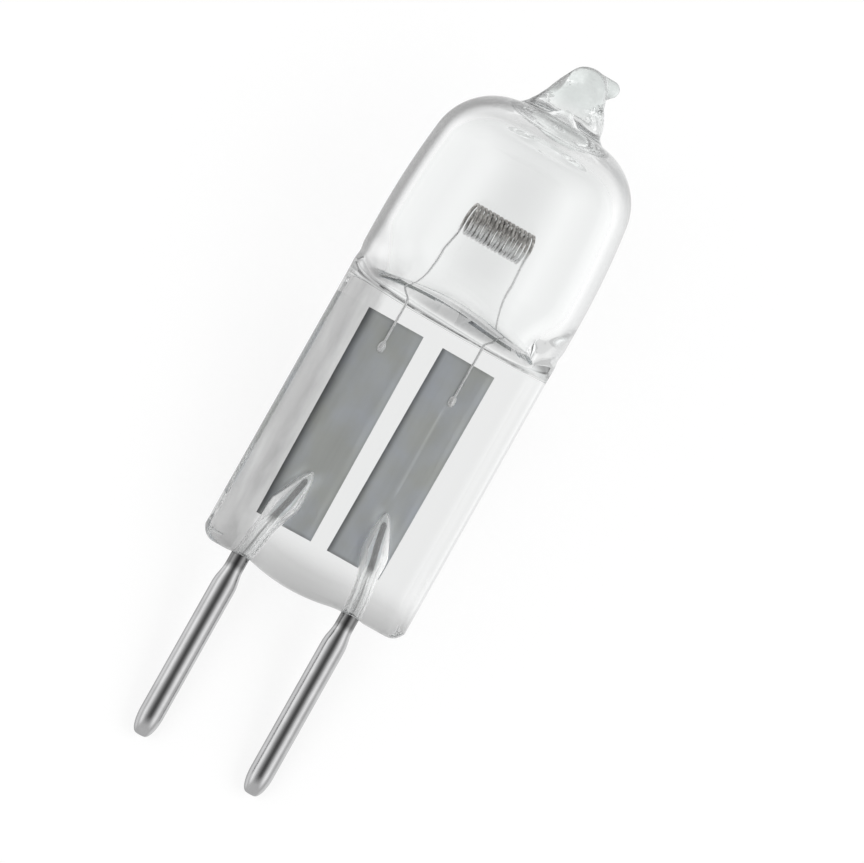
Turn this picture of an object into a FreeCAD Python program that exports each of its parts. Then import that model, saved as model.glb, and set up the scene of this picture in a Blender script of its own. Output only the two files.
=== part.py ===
# A halogen capsule bulb with two contact pins, lying on its back on a flat surface as it comes to rest.
# The lamp is drawn upright first. +Z runs from the pin tips at Z 0 to the exhaust tip, the pins stand apart
# along X, and the seal's front face looks along -Y. It is then laid down, and the frame's origin is on the
# surface under the middle of the lamp. Sizes are in millimetres.
import FreeCAD, Part
import math
import os

# Contact pins
PIN_SPACING = 6.35          # between the pins' axes, the standard spacing of this base
PIN_D = 1.28
PIN_LENGTH = 10.6           # from the nose to the face that the lead is welded to
PIN_NOSE = 1.3              # the part of the length that the rounded nose takes
NOSE_BLUNT = 0.2            # how far the nose's end stays flat, from its axis
NECK_D = 0.92
NECK_LENGTH = 1.0
PIN_TAPER = 2.0             # from the full pin down to its neck

# Pressed seal
SEAL_WIDTH = 11.4
SEAL_THICKNESS = 3.2
SEAL_EDGE_R = 1.2           # its long edges
SEAL_LENGTH = 15.15         # from its foot to the underside of the bulb
SEAL_CORNER_R = 0.9         # corners of the foot, seen from the front
FOOT_ROUND = 1.4            # height of the rounding at the foot, seen from the side
LOBE_BULGE = 0.1            # how far the foot bulges down between the two leads
LOBE_HALF_WIDTH = 2.3

# Leads, in their open channels
LEAD_D = 0.6
LEAD_REACH = 4.6            # height that a lead climbs above its pin
LEAD_HEAD_SPACING = 4.5     # between the leads' upper ends
LEAD_BEND_R = 1.5           # where a lead leaves its pin and starts to lean inwards
CHANNEL_CLEARANCE = 0.22    # gap between the lead and its channel
NOTCH_DEPTH = 0.45          # the channel's mouth is widened to this depth
NOTCH_FLARE = 0.32          # and by this much
POCKET_HALF_WIDTH = 0.95    # the channel widens beside the foil into a pocket
POCKET_HALF_DEPTH = 0.75
POCKET_BELOW = 2.7          # from the pocket's widest place down to where it leaves the channel
POCKET_ABOVE = 0.8          # and up to its closed end

# Foils
FOIL_WIDTH = 3.2
FOIL_LENGTH = 11.7
FOIL_THICKNESS = 0.04
FOIL_FEATHER = 0.35         # the long edges are etched down to a knife edge over this width
FOIL_SPACING = 4.2          # between the foils' middles
FOIL_SPLAY = 0.45           # degrees that each foil's head leans outwards
FOIL_ABOVE_FOOT = 2.35      # from the seal's foot to the foils' lower ends
MOUNT_SHIFT = -0.25         # pins, leads and foils sit this far to one side of the seal's middle
WELD_FLAT = 0.25            # share of a wire's radius that its weld to the foil flattens

# Bulb
BULB_D = 11.44
BULB_WALL = 0.75
SHOULDER_LENGTH = 3.1       # from the bulb's underside to its widest circle
SHOULDER_R = 2.5            # rounding between the underside and the barrel
UNDERSIDE_SLOPE = 14.0      # degrees that the underside rises outwards
BARREL_LENGTH = 8.27        # from that circle to the dome's crown
BARREL_ARC_R = 41.2         # the barrel narrows upwards along an arc of this radius
DOME_CORNER_R = 3.35
CROWN_WALL = 1.05
CAVITY_CORNER_R = 2.4       # under the crown
CAVITY_FLOOR_R = 1.3        # round the floor
FLOOR_THICKNESS = 0.95      # solid glass under the cavity, down to the bulb's underside

# Exhaust tip
TIP_BASE_D = 4.2
TIP_LENGTH = 3.25           # from the crown to the melted-off top
TIP_TAPER = 21.0            # degrees that each side of its cone leans in
TIP_TOP_R = 1.15            # ball of the melted-off top
TIP_ROOT_CHAMFER = 0.25     # flare of the cone's foot, where it meets the crown
BEAD_D = 0.92               # the bead of glass left where the tube was melted off
BEAD_OUT = 1.1              # how far to the side it hangs
BEAD_BELOW_TOP = 0.52       # from the tip's top to the bead's middle
PASSAGE_MOUTH_D = 2.3
PASSAGE_END_D = 1.1
PASSAGE_END_WALL = 1.75     # glass between the passage's closed end and the top

# Filament
WIRE_D = 0.2
WIRE_SIDES = 6              # the thin wire is drawn six-sided, with a round wire's cross-sectional area
COIL_D = 1.92               # outside
COIL_PITCH = 0.2936
COIL_TURNS = 12             # whole turns, besides the half turn that brings both legs downwards
COIL_SHIFT = -0.13          # the coil's middle, from the bulb's axis
COIL_ABOVE_FLOOR = 4.3      # from the cavity's floor to the coil's axis
LEG_BEND_R = 0.6
LEG_KNEE = 0.9              # from the coil's axis down to where a leg starts to lean
LEG_ENTRY = 0.3             # from the cavity's floor up to where a leg turns into the seal
LEG_OVERLAP = {"left": 1.7, "right": 2.4}       # lengths welded to the foils
LEG_OFFSET = {"left": -0.12, "right": 0.15}     # where they stand, from the foils' middles

SIDES = {"left": -1, "right": 1}

# Heights that follow from the sizes above
seal_foot = PIN_LENGTH - NOTCH_DEPTH
underside = seal_foot + SEAL_LENGTH
barrel_foot = underside + SHOULDER_LENGTH
crown = barrel_foot + BARREL_LENGTH
cavity_floor = underside + FLOOR_THICKNESS
cavity_crown = crown - CROWN_WALL
tip_top = crown + TIP_LENGTH
coil_height = cavity_floor + COIL_ABOVE_FLOOR
foil_foot = seal_foot + FOIL_ABOVE_FOOT
foil_head = foil_foot + FOIL_LENGTH
foil_front = LEAD_D / 2 * (1 - WELD_FLAT)       # the leads' flats rest on the foils' front faces
wire_corner_r = WIRE_D / 2 * math.sqrt(2 * math.pi / (WIRE_SIDES * math.sin(2 * math.pi / WIRE_SIDES)))
leg_depth = foil_front - wire_corner_r * math.cos(math.pi / WIRE_SIDES)


def point(x, z, y=0.0):
    """A point of the upright lamp, seen from the front."""
    return FreeCAD.Vector(x, y, z)


def line(a, b):
    return Part.makeLine(a, b)


def arc(a, middle, b):
    return Part.Arc(a, middle, b).toShape()


def bezier(*poles):
    curve = Part.BezierCurve()
    curve.setPoles(list(poles))
    return curve


def polar(radius, angle):
    """A step of one length at an angle in the XZ plane, measured from +X towards +Z."""
    return point(radius * math.cos(angle), radius * math.sin(angle))


def turned(edges):
    """The solid that a closed outline in the XZ plane sweeps out round the Z axis."""
    face = Part.Face(Part.Wire(Part.__sortEdges__(edges)))
    return face.revolve(point(0, 0), point(0, 1), 360)


def round_section(centre, radius):
    """A round face that looks along Z, to draw a rod from."""
    return Part.Face(Part.Wire(Part.makeCircle(radius, centre)))


def wire_section(centre):
    """The thin wire's face that looks along Z, with one of its flats to the back."""
    corners = []
    for i in range(WIRE_SIDES + 1):
        turn = 2 * math.pi * (i + 0.5) / WIRE_SIDES
        corners.append(centre + point(wire_corner_r * math.sin(turn), 0, wire_corner_r * math.cos(turn)))
    return Part.Face(Part.makePolygon(corners))


def bent_rod(section, points, bend_r):
    """The pieces of a rod that carries a section from the first point through the others, and is bent to one
    radius at each point between its ends."""
    pieces = []
    start = points[0]
    for before, corner, after in zip(points, points[1:], points[2:]):
        u = (corner - before).normalize()
        v = (after - corner).normalize()
        turn = math.atan2(u.cross(v).Length, u.dot(v))
        setback = bend_r * math.tan(turn / 2)
        run = corner - u * setback - start
        pieces.append(section.extrude(run))
        section = section.translated(run)
        axis = u.cross(v).normalize()
        centre = start + run + axis.cross(u) * bend_r
        pieces.append(section.revolve(centre, axis, math.degrees(turn)))
        section = section.copy()
        section.rotate(centre, axis, math.degrees(turn))
        start = corner + v * setback
    pieces.append(section.extrude(points[-1] - start))
    return pieces


def barrel_edges(radius, arc_r, corner_r, top):
    """Side view of barrel and dome: a long arc that leans in and turns into the crown by a tangent corner."""
    arc_centre = radius - arc_r
    rise = top - corner_r - barrel_foot
    corner_x = arc_centre + math.sqrt((arc_r - corner_r) ** 2 - rise ** 2)
    lean = math.atan2(rise, corner_x - arc_centre)
    foot = point(radius, barrel_foot)
    halfway = point(arc_centre + arc_r * math.cos(lean / 2), barrel_foot + arc_r * math.sin(lean / 2))
    joint = point(arc_centre + arc_r * math.cos(lean), barrel_foot + arc_r * math.sin(lean))
    turn = (lean + math.pi / 2) / 2
    corner = point(corner_x + corner_r * math.cos(turn), top - corner_r + corner_r * math.sin(turn))
    crown_edge = point(corner_x, top)
    return [arc(foot, halfway, joint), arc(joint, corner, crown_edge), line(crown_edge, point(0, top))]


def shoulder_corner():
    """Side view of the rounding between the bulb's underside and its barrel: its middle and its first angle."""
    slope = math.radians(UNDERSIDE_SLOPE)
    return point(BULB_D / 2 - SHOULDER_R, barrel_foot), slope - math.pi / 2


def bulb_body():
    middle, start = shoulder_corner()
    low = middle + polar(SHOULDER_R, start)
    root_z = low.z - low.x * math.tan(math.radians(UNDERSIDE_SLOPE))
    return turned([
        line(point(0, root_z), low),
        arc(low, middle + polar(SHOULDER_R, start / 2), middle + polar(SHOULDER_R, 0)),
        *barrel_edges(BULB_D / 2, BARREL_ARC_R, DOME_CORNER_R, crown),
        line(point(0, crown), point(0, root_z)),
    ])


def seal_block():
    """The flat pressed seal, with its rounded foot and the lobe between the leads. It runs up into the bulb."""
    half, depth, edge = SEAL_WIDTH / 2, SEAL_THICKNESS / 2, SEAL_EDGE_R
    low, high = seal_foot - LOBE_BULGE, barrel_foot
    block = Part.makeBox(SEAL_WIDTH, SEAL_THICKNESS, high - low, point(-half, low, -depth))
    uprights = [e for e in block.Edges if abs(e.tangentAt(e.FirstParameter).z) > 0.9]
    block = block.makeFillet(edge, uprights)
    corner_x, corner_z = half - SEAL_CORNER_R, seal_foot + SEAL_CORNER_R
    slack = SEAL_CORNER_R * (1 - math.sqrt(0.5))
    front = Part.Face(Part.Wire([
        line(point(-2 * half, 2 * high), point(2 * half, 2 * high)),
        line(point(2 * half, 2 * high), point(2 * half, corner_z)),
        line(point(2 * half, corner_z), point(half, corner_z)),
        arc(point(half, corner_z), point(half - slack, seal_foot + slack), point(corner_x, seal_foot)),
        line(point(corner_x, seal_foot), point(LOBE_HALF_WIDTH, seal_foot)),
        arc(point(LOBE_HALF_WIDTH, seal_foot), point(0, low), point(-LOBE_HALF_WIDTH, seal_foot)),
        line(point(-LOBE_HALF_WIDTH, seal_foot), point(-corner_x, seal_foot)),
        arc(point(-corner_x, seal_foot), point(slack - half, seal_foot + slack), point(-half, corner_z)),
        line(point(-half, corner_z), point(-2 * half, corner_z)),
        line(point(-2 * half, corner_z), point(-2 * half, 2 * high)),
    ])).extrude(point(0, 0, 4 * depth))
    front.translate(point(0, 0, -2 * depth))
    side = Part.Face(Part.Wire([
        arc(point(-half, low + FOOT_ROUND, -depth), point(-half, low), point(-half, low + FOOT_ROUND, depth)),
        line(point(-half, low + FOOT_ROUND, depth), point(-half, 2 * high, depth)),
        line(point(-half, 2 * high, depth), point(-half, 2 * high, -depth)),
        line(point(-half, 2 * high, -depth), point(-half, low + FOOT_ROUND, -depth)),
    ])).extrude(point(2 * half, 0))
    return block.common(front).common(side)


def tip_body():
    """The exhaust tip: a short cone on a flared root, closed by a ball-shaped, melted-off top."""
    lean = math.radians(TIP_TAPER)
    root_z = crown - CROWN_WALL / 2
    middle = point(0, tip_top - TIP_TOP_R)
    cone_top = middle + polar(TIP_TOP_R, lean)
    base = point(TIP_BASE_D / 2, crown)
    waist = base + (cone_top - base).normalize() * TIP_ROOT_CHAMFER
    flare = point(base.x + TIP_ROOT_CHAMFER, crown)
    return turned([
        line(point(0, root_z), point(flare.x, root_z)),
        line(point(flare.x, root_z), flare),
        line(flare, waist),
        line(waist, cone_top),
        arc(cone_top, middle + polar(TIP_TOP_R, (lean + math.pi / 2) / 2), point(0, tip_top)),
        line(point(0, tip_top), point(0, root_z)),
    ])


def tip_bead():
    """The drop of glass that hangs to one side of the melted-off tip."""
    height = tip_top - BEAD_BELOW_TOP
    neck = Part.makeCylinder(0.46 * BEAD_D, BEAD_OUT, point(0, height), point(1, 0))
    return neck.fuse(Part.makeSphere(BEAD_D / 2, point(BEAD_OUT, height)))


def passage():
    """What is left of the exhaust tube's bore, inside the tip."""
    mouth_r, end_r = PASSAGE_MOUTH_D / 2, PASSAGE_END_D / 2
    end = tip_top - PASSAGE_END_WALL
    low = cavity_crown - mouth_r / 2
    middle = point(0, end - end_r)
    return turned([
        line(point(0, low), point(mouth_r, low)),
        line(point(mouth_r, low), middle + polar(end_r, 0)),
        arc(middle + polar(end_r, 0), middle + polar(end_r, math.pi / 4), point(0, end)),
        line(point(0, end), point(0, low)),
    ])


def cavity():
    """The gas space inside the bulb, up to the closed end of the exhaust bore."""
    wall_r = BULB_D / 2 - BULB_WALL
    floor_edge = point(wall_r - CAVITY_FLOOR_R, cavity_floor)
    wall_foot = point(wall_r, cavity_floor + CAVITY_FLOOR_R)
    slack = CAVITY_FLOOR_R * (1 - math.sqrt(0.5))
    space = turned([
        line(point(0, cavity_floor), floor_edge),
        arc(floor_edge, point(wall_r - slack, cavity_floor + slack), wall_foot),
        line(wall_foot, point(wall_r, barrel_foot)),
        *barrel_edges(wall_r, BARREL_ARC_R - BULB_WALL, CAVITY_CORNER_R, cavity_crown),
        line(point(0, cavity_crown), point(0, cavity_floor)),
    ])
    return space.fuse(passage())


def lead_x(side, height):
    """Where a lead's axis is at one height: over its pin, then leaning in evenly towards its foil."""
    foot, head = PIN_SPACING / 2, LEAD_HEAD_SPACING / 2
    share = max(0.0, (height - PIN_LENGTH) / LEAD_REACH)
    return MOUNT_SHIFT + SIDES[side] * (foot + (head - foot) * share)


def ellipse_section(x, height, half_width, half_depth):
    if half_width - half_depth < 1e-6:
        return Part.Wire(Part.makeCircle(half_width, point(x, height)))
    return Part.Wire(Part.Ellipse(point(x + half_width, height), point(x, height, half_depth),
                                  point(x, height)).toShape())


def lead_channel(side):
    """The air space round a lead: a flared mouth, a round channel and a pocket that widens beside the foil."""
    bore = LEAD_D / 2 + CHANNEL_CLEARANCE
    mouth = bore + NOTCH_FLARE
    widest = PIN_LENGTH + LEAD_REACH - 0.25
    leave = widest - POCKET_BELOW
    foot_x = lead_x(side, 0)
    below = seal_foot - NOTCH_DEPTH
    mouth_corner = point(mouth, PIN_LENGTH)
    bell = turned([
        line(point(0, below), point(mouth, below)),
        line(point(mouth, below), point(mouth, seal_foot)),
        arc(point(mouth, seal_foot), mouth_corner + polar(-1, math.pi / 4).multiply(0.8 * NOTCH_FLARE),
            point(bore, PIN_LENGTH)),
        line(point(bore, PIN_LENGTH), point(0, PIN_LENGTH)),
        line(point(0, PIN_LENGTH), point(0, below)),
    ])
    bell.translate(point(foot_x, 0))
    bore_path = Part.makeLoft([ellipse_section(foot_x, PIN_LENGTH, bore, bore),
                               ellipse_section(lead_x(side, leave), leave, bore, bore)], True, False)
    sizes = []
    for share in (0.0, 0.3, 0.65, 1.0):
        ease = share * share * (3 - 2 * share)
        sizes.append((leave + share * POCKET_BELOW, bore + (POCKET_HALF_WIDTH - bore) * ease,
                      bore + (POCKET_HALF_DEPTH - bore) * ease))
    for share in (0.45, 0.8, 0.96):
        closing = math.sqrt(1 - share * share)
        sizes.append((widest + share * POCKET_ABOVE, POCKET_HALF_WIDTH * closing, POCKET_HALF_DEPTH * closing))
    pocket = Part.makeLoft([ellipse_section(lead_x(side, z), z, w, d) for z, w, d in sizes], True, True)
    return bell.fuse([bore_path, pocket])


def envelope():
    """Quartz body: seal, bulb and tip in one, hollowed out and with the places of its embedded parts."""
    outer = seal_block().fuse([bulb_body(), tip_body(), tip_bead()])
    places = [cavity(), filament()]
    for side in SIDES:
        places += [lead_channel(side), foil(side)]
    return outer.cut(places)


def foil(side):
    """A thin strip with feathered long edges, standing in the middle of the seal."""
    half, back = FOIL_WIDTH / 2, foil_front + FOIL_THICKNESS
    middle = (foil_front + back) / 2
    outline = [(-half, middle), (FOIL_FEATHER - half, foil_front), (half - FOIL_FEATHER, foil_front),
               (half, middle), (half - FOIL_FEATHER, back), (FOIL_FEATHER - half, back)]
    strip = Part.Face(Part.makePolygon([point(x, foil_foot, y) for x, y in outline + outline[:1]]))
    strip = strip.extrude(point(0, FOIL_LENGTH))
    strip.translate(point(MOUNT_SHIFT + SIDES[side] * FOIL_SPACING / 2, 0))
    pivot = point(MOUNT_SHIFT + SIDES[side] * FOIL_SPACING / 2, foil_foot + FOIL_LENGTH / 2)
    strip.rotate(pivot, point(0, 0, 1), SIDES[side] * FOIL_SPLAY)
    return strip


def behind_foils():
    """The space behind the foils' front faces, which the welded wires keep clear of."""
    return Part.makeBox(2 * SEAL_WIDTH, SEAL_THICKNESS, FOIL_LENGTH, point(-SEAL_WIDTH, foil_foot, foil_front))


def outer_lead(side):
    """The stiff wire between a pin and its foil, flattened where it is welded to the foil."""
    foot = point(lead_x(side, 0), PIN_LENGTH)
    knee = point(foot.x, PIN_LENGTH + 0.2)
    head = point(lead_x(side, PIN_LENGTH + LEAD_REACH), PIN_LENGTH + LEAD_REACH)
    pieces = bent_rod(round_section(foot, LEAD_D / 2), [foot, knee, head], LEAD_BEND_R)
    return pieces[0].fuse(pieces[1:]).cut(behind_foils())


def pin_nose():
    """Side view of a pin's nose, from its blunt end out to the shank."""
    radius = PIN_D / 2
    return bezier(point(NOSE_BLUNT, 0), point(0.72 * radius, 0), point(radius, 0.42 * PIN_NOSE),
                  point(radius, PIN_NOSE))


def pin(side):
    """A contact pin: rounded nose, straight shank, and a taper to the neck that carries the lead."""
    radius, neck = PIN_D / 2, NECK_D / 2
    taper_top = PIN_LENGTH - NECK_LENGTH
    taper_foot = taper_top - PIN_TAPER
    taper = bezier(point(radius, taper_foot), point(radius, taper_foot + 0.4 * PIN_TAPER),
                   point(neck, taper_top - 0.4 * PIN_TAPER), point(neck, taper_top))
    shape = turned([
        line(point(0, 0), point(NOSE_BLUNT, 0)),
        pin_nose().toShape(),
        line(point(radius, PIN_NOSE), point(radius, taper_foot)),
        taper.toShape(),
        line(point(neck, taper_top), point(neck, PIN_LENGTH)),
        line(point(neck, PIN_LENGTH), point(0, PIN_LENGTH)),
        line(point(0, PIN_LENGTH), point(0, 0)),
    ])
    shape.translate(point(MOUNT_SHIFT + SIDES[side] * PIN_SPACING / 2, 0))
    return shape


def coil():
    """The wire's turns, which lie along X, and the places of the wire's two ends. Each half turn is a half
    ring, and the rings lean to and fro so that the wire runs straight up or down wherever two of them meet."""
    radius = (COIL_D - WIRE_D) / 2
    step = point(COIL_PITCH / 2, 0)
    half_turns = 2 * COIL_TURNS + 1
    left_end = point(COIL_SHIFT, coil_height, radius) - step * (half_turns / 2)
    start = left_end
    section = wire_section(start)
    rings = []
    for _ in range(half_turns):
        end = point((start + step).x, coil_height, -start.y)
        axis = (start - end).cross(point(0, start.y)).normalize()
        rings.append(section.revolve((start + end) * 0.5, axis, 180))
        section = section.copy()
        section.rotate((start + end) * 0.5, axis, 180)
        start = end
    return rings, left_end, start


def leg(side, top):
    """One leg of the filament: up from its foil, leaning in to the coil, and straight up to the coil's end."""
    foot_x = MOUNT_SHIFT + SIDES[side] * FOIL_SPACING / 2 + LEG_OFFSET[side]
    foot = point(foot_x, foil_head - LEG_OVERLAP[side], leg_depth)
    entry = point(foot_x, cavity_floor + LEG_ENTRY, leg_depth)
    knee = point(top.x, coil_height - LEG_KNEE, top.y)
    return bent_rod(wire_section(foot), [foot, entry, knee, top], LEG_BEND_R)


def filament():
    """The filament as one wire: up one leg, round the coil and down the other leg."""
    rings, left_end, right_end = coil()
    return rings[0].fuse(rings[1:] + leg("left", left_end) + leg("right", right_end))


def rest_line():
    """How the lamp rests on a flat surface: the lean of its axis, and the axis's height at Z 0. The surface
    touches the pins' noses and the bulb's shoulder, and is the common tangent of their side views."""
    noses = [pin_nose().value(i / 400) for i in range(401)]
    middle, _ = shoulder_corner()
    lean = 0.0
    for _ in range(20):
        nose = max(noses, key=lambda p: p.x * math.cos(lean) - p.z * math.sin(lean))
        shoulder = middle + polar(SHOULDER_R, -lean)
        lean = math.atan2(shoulder.x - nose.x, shoulder.z - nose.z)
    return lean, nose.x * math.cos(lean) - nose.z * math.sin(lean)


def laid_down(shapes):
    """The upright lamp's parts, turned onto their back and moved to the frame's origin. The tip looks to +X
    and a little up, and the seal's front face looks up."""
    lean, height = rest_line()
    c, s = math.cos(lean), math.sin(lean)
    turn = FreeCAD.Placement(FreeCAD.Matrix(0, s, c, 0,
                                            -1, 0, 0, 0,
                                            0, -c, s, height,
                                            0, 0, 0, 1))
    for shape in shapes.values():
        shape.Placement = turn.multiply(shape.Placement)
    boxes = [shape.optimalBoundingBox(False) for shape in shapes.values()]
    middle_x = (min(box.XMin for box in boxes) + max(box.XMax for box in boxes)) / 2
    middle_y = (min(box.YMin for box in boxes) + max(box.YMax for box in boxes)) / 2
    for shape in shapes.values():
        shape.translate(FreeCAD.Vector(-middle_x, -middle_y, 0))
    return shapes


def lamp():
    """Every part of the upright lamp, by name."""
    parts = {"quartz_envelope": envelope(), "filament": filament()}
    for side in SIDES:
        parts[side + "_foil"] = foil(side)
        parts[side + "_outer_lead"] = outer_lead(side)
        parts[side + "_pin"] = pin(side)
    return parts


if __name__ == "__main__":
    os.makedirs("parts", exist_ok=True)
    for name, shape in laid_down(lamp()).items():
        shape.exportStep("parts/%s.step" % name)
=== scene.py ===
"""Looks of a halogen capsule bulb that lies on its back on a white table.

Every shape is worked out in the upright lamp's own millimetres: Z runs from the pins' noses to the exhaust
tip, the pins stand apart along X and the seal's front looks along -Y. Resting turns such points into the
frame's metres.
"""

import logging
import math
from dataclasses import dataclass, field
from enum import Enum
from functools import cache

import bpy
import numpy as np
from mathutils import Matrix, Vector

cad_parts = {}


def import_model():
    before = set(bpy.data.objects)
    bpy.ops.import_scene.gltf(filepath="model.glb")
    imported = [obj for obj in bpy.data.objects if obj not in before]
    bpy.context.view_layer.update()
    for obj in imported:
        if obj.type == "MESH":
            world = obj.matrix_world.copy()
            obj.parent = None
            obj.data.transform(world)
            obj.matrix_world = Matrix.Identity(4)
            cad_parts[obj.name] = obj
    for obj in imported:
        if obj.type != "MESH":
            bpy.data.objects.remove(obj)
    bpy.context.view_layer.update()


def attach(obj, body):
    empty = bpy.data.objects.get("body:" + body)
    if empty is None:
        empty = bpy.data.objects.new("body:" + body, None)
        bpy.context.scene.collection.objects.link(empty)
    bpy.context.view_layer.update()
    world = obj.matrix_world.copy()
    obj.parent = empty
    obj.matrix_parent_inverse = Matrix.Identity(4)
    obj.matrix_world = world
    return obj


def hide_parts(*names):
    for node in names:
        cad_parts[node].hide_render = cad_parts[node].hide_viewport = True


LOG = logging.getLogger("capsule_bulb")
BODY = "root"
MM = 0.001
SHARP = 35.0

# Places that several pieces share, in the upright lamp's millimetres
MOUNT_SHIFT = -0.25
PIN_SPACING = 6.35
PIN_LENGTH = 10.6
SEAL_FOOT = 10.15
FOIL_FRONT = 0.225
FOIL_SPACING = 4.2

Colour = tuple[float, float, float]
Socket = bpy.types.NodeSocket
Feed = bpy.types.Node | Socket | Colour | float
Numbers = np.ndarray | float


class Slot(Enum):
    """The record's material slots."""

    QUARTZ = "clear_quartz"
    TUNGSTEN = "tungsten_wire"
    FOIL = "molybdenum_foil"
    LEAD = "molybdenum_wire"
    PIN = "plated_pin"


class Side(Enum):
    """The lamp's two halves, with the sign that their X has."""

    LEFT = -1
    RIGHT = 1

    def called(self, thing: str) -> str:
        """A piece's name on this side, such as left_pin."""
        return f"{self.name.lower()}_{thing}"

    def x(self, half: Numbers) -> Numbers:
        """Where something stands that is half a spacing away from the mounts' middle."""
        return MOUNT_SHIFT + self.value * half


# Mesh helpers


@dataclass(frozen=True)
class Resting:
    """Turns the upright lamp onto its back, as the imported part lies."""

    lean: float = math.radians(10.563722)
    middle: float = 19.6116
    lift: float = 0.4589

    def vectors(self, upright: np.ndarray) -> np.ndarray:
        """Turns directions of the upright lamp.

        World X is sin(lean) y + cos(lean) z, world Y is -x and world Z is -cos(lean) y + sin(lean) z.

        Args:
            upright: directions as an array whose last axis has three numbers.

        Returns:
            The same directions in the frame.
        """
        c, s = math.cos(self.lean), math.sin(self.lean)
        x, y, z = upright[..., 0], upright[..., 1], upright[..., 2]
        return np.stack([s * y + c * z, -x, s * z - c * y], axis=-1)

    def points(self, upright: np.ndarray) -> np.ndarray:
        """Turns points of the upright lamp in millimetres into points of the frame in metres."""
        return (self.vectors(upright) + np.array([-self.middle, 0.0, self.lift])) * MM


REST = Resting()


@dataclass
class Shell:
    """A closed surface: its vertices, and faces as rows of four indices, the last two equal in a triangle."""

    points: np.ndarray
    faces: np.ndarray

    def joined(self, other: "Shell") -> "Shell":
        """This surface and another one as one mesh."""
        return Shell(np.vstack([self.points, other.points]),
                     np.vstack([self.faces, other.faces + len(self.points)]))


def unit(rows: np.ndarray) -> np.ndarray:
    """Directions, as rows or as a single one, brought to a length of one."""
    return rows / np.linalg.norm(rows, axis=-1, keepdims=True)


def full_turn(count: int) -> np.ndarray:
    """Angles at an even step round a circle."""
    return np.linspace(0, 2 * np.pi, count, endpoint=False)


def eased(t: np.ndarray) -> np.ndarray:
    """A share from 0 to 1 that starts and ends gently: 3 t squared less 2 t cubed."""
    t = np.clip(t, 0, 1)
    return t * t * (3 - 2 * t)


def bell(value: np.ndarray, middle: float, width: float) -> np.ndarray:
    """A bell curve: e to the power of minus the square of the distance from its middle over its width."""
    return np.exp(-((value - middle) / width) ** 2)


def rounded_max(a: np.ndarray, b: np.ndarray, blend: float) -> np.ndarray:
    """The larger of two values, plus (blend - difference) squared over 4 blend where they are that close."""
    return np.maximum(a, b) + np.maximum(blend - np.abs(a - b), 0) ** 2 / (4 * blend)


def stacked(rings: np.ndarray) -> Shell:
    """A closed surface through rings of points, with a pole in the middle of its first and its last ring.

    Point (i, j) is ring i at step j round it. Each cell of the grid is one face, and the faces look outwards
    where the rings run counter-clockwise seen from the side that they climb to.

    Args:
        rings: array of rings by steps by three.

    Returns:
        The closed surface.
    """
    count, around = rings.shape[:2]
    poles = np.stack([rings[0].mean(axis=0), rings[-1].mean(axis=0)])
    i, j = np.meshgrid(np.arange(count - 1) * around, np.arange(around), indexing="ij")
    k = (j + 1) % around
    sides = np.stack([i + j, i + k, i + around + k, i + around + j], axis=-1)
    step = np.arange(around)
    after, pole, last = (step + 1) % around, np.full(around, count * around), (count - 1) * around
    low = np.stack([after, step, pole, pole], axis=-1)
    high = np.stack([last + step, last + after, pole + 1, pole + 1], axis=-1)
    return Shell(np.vstack([rings.reshape(-1, 3), poles]), np.vstack([sides.reshape(-1, 4), low, high]))


def carried(path: np.ndarray, radius: np.ndarray, around: int) -> np.ndarray:
    """Rings of a round section that is carried along a path, which never runs along X.

    At every point the section's first direction is X with its part along the path taken off, and its second
    is the path's direction crossed with the first. A ring's point at angle t lies at
    radius (cos t first + sin t second) from the path.

    Args:
        path: points along the path, as rows.
        radius: the section's radius at each of them.
        around: points round a ring.

    Returns:
        The rings, as an array of points by steps by three.
    """
    along = unit(np.gradient(path, axis=0))
    first = unit(np.array([1.0, 0.0, 0.0]) - along * along[:, :1])
    second = np.cross(along, first)
    t = full_turn(around)[None, :, None]
    return path[:, None] + radius[:, None, None] * (np.cos(t) * first[:, None] + np.sin(t) * second[:, None])


def turned(profile: np.ndarray, around: int, centre_x: float = 0.0) -> np.ndarray:
    """Rings that a side view (r, z) sweeps out round the upright line at centre_x: (r cos t, r sin t, z)."""
    t, r, z = full_turn(around), profile[:, 0, None], profile[:, 1, None]
    return np.stack([centre_x + r * np.cos(t), r * np.sin(t), z + 0 * t], axis=-1)


def arc(centre: tuple[float, float], radius: float, first: float, last: float, count: int) -> np.ndarray:
    """Points of a circle's arc in a side view, from one angle in degrees to another."""
    t = np.radians(np.linspace(first, last, count))
    return np.stack([centre[0] + radius * np.cos(t), centre[1] + radius * np.sin(t)], axis=-1)


def curve(poles: list[tuple[float, ...]], count: int) -> np.ndarray:
    """Points of a Bezier curve: the poles weighted by the Bernstein polynomials of the share along it.

    Args:
        poles: the curve's ends and the points that draw it between them.
        count: how many points it gets.

    Returns:
        The points as rows.
    """
    t = np.linspace(0, 1, count)[:, None]
    n = len(poles) - 1
    return sum(math.comb(n, i) * t ** i * (1 - t) ** (n - i) * np.array(pole) for i, pole in enumerate(poles))


def chain(*parts: np.ndarray) -> np.ndarray:
    """Side views that follow each other as one, without the points in which they meet twice."""
    points = np.vstack(parts)
    apart = np.linalg.norm(np.diff(points, axis=0), axis=1) > 1e-6
    return points[np.concatenate([[True], apart])]


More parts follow.
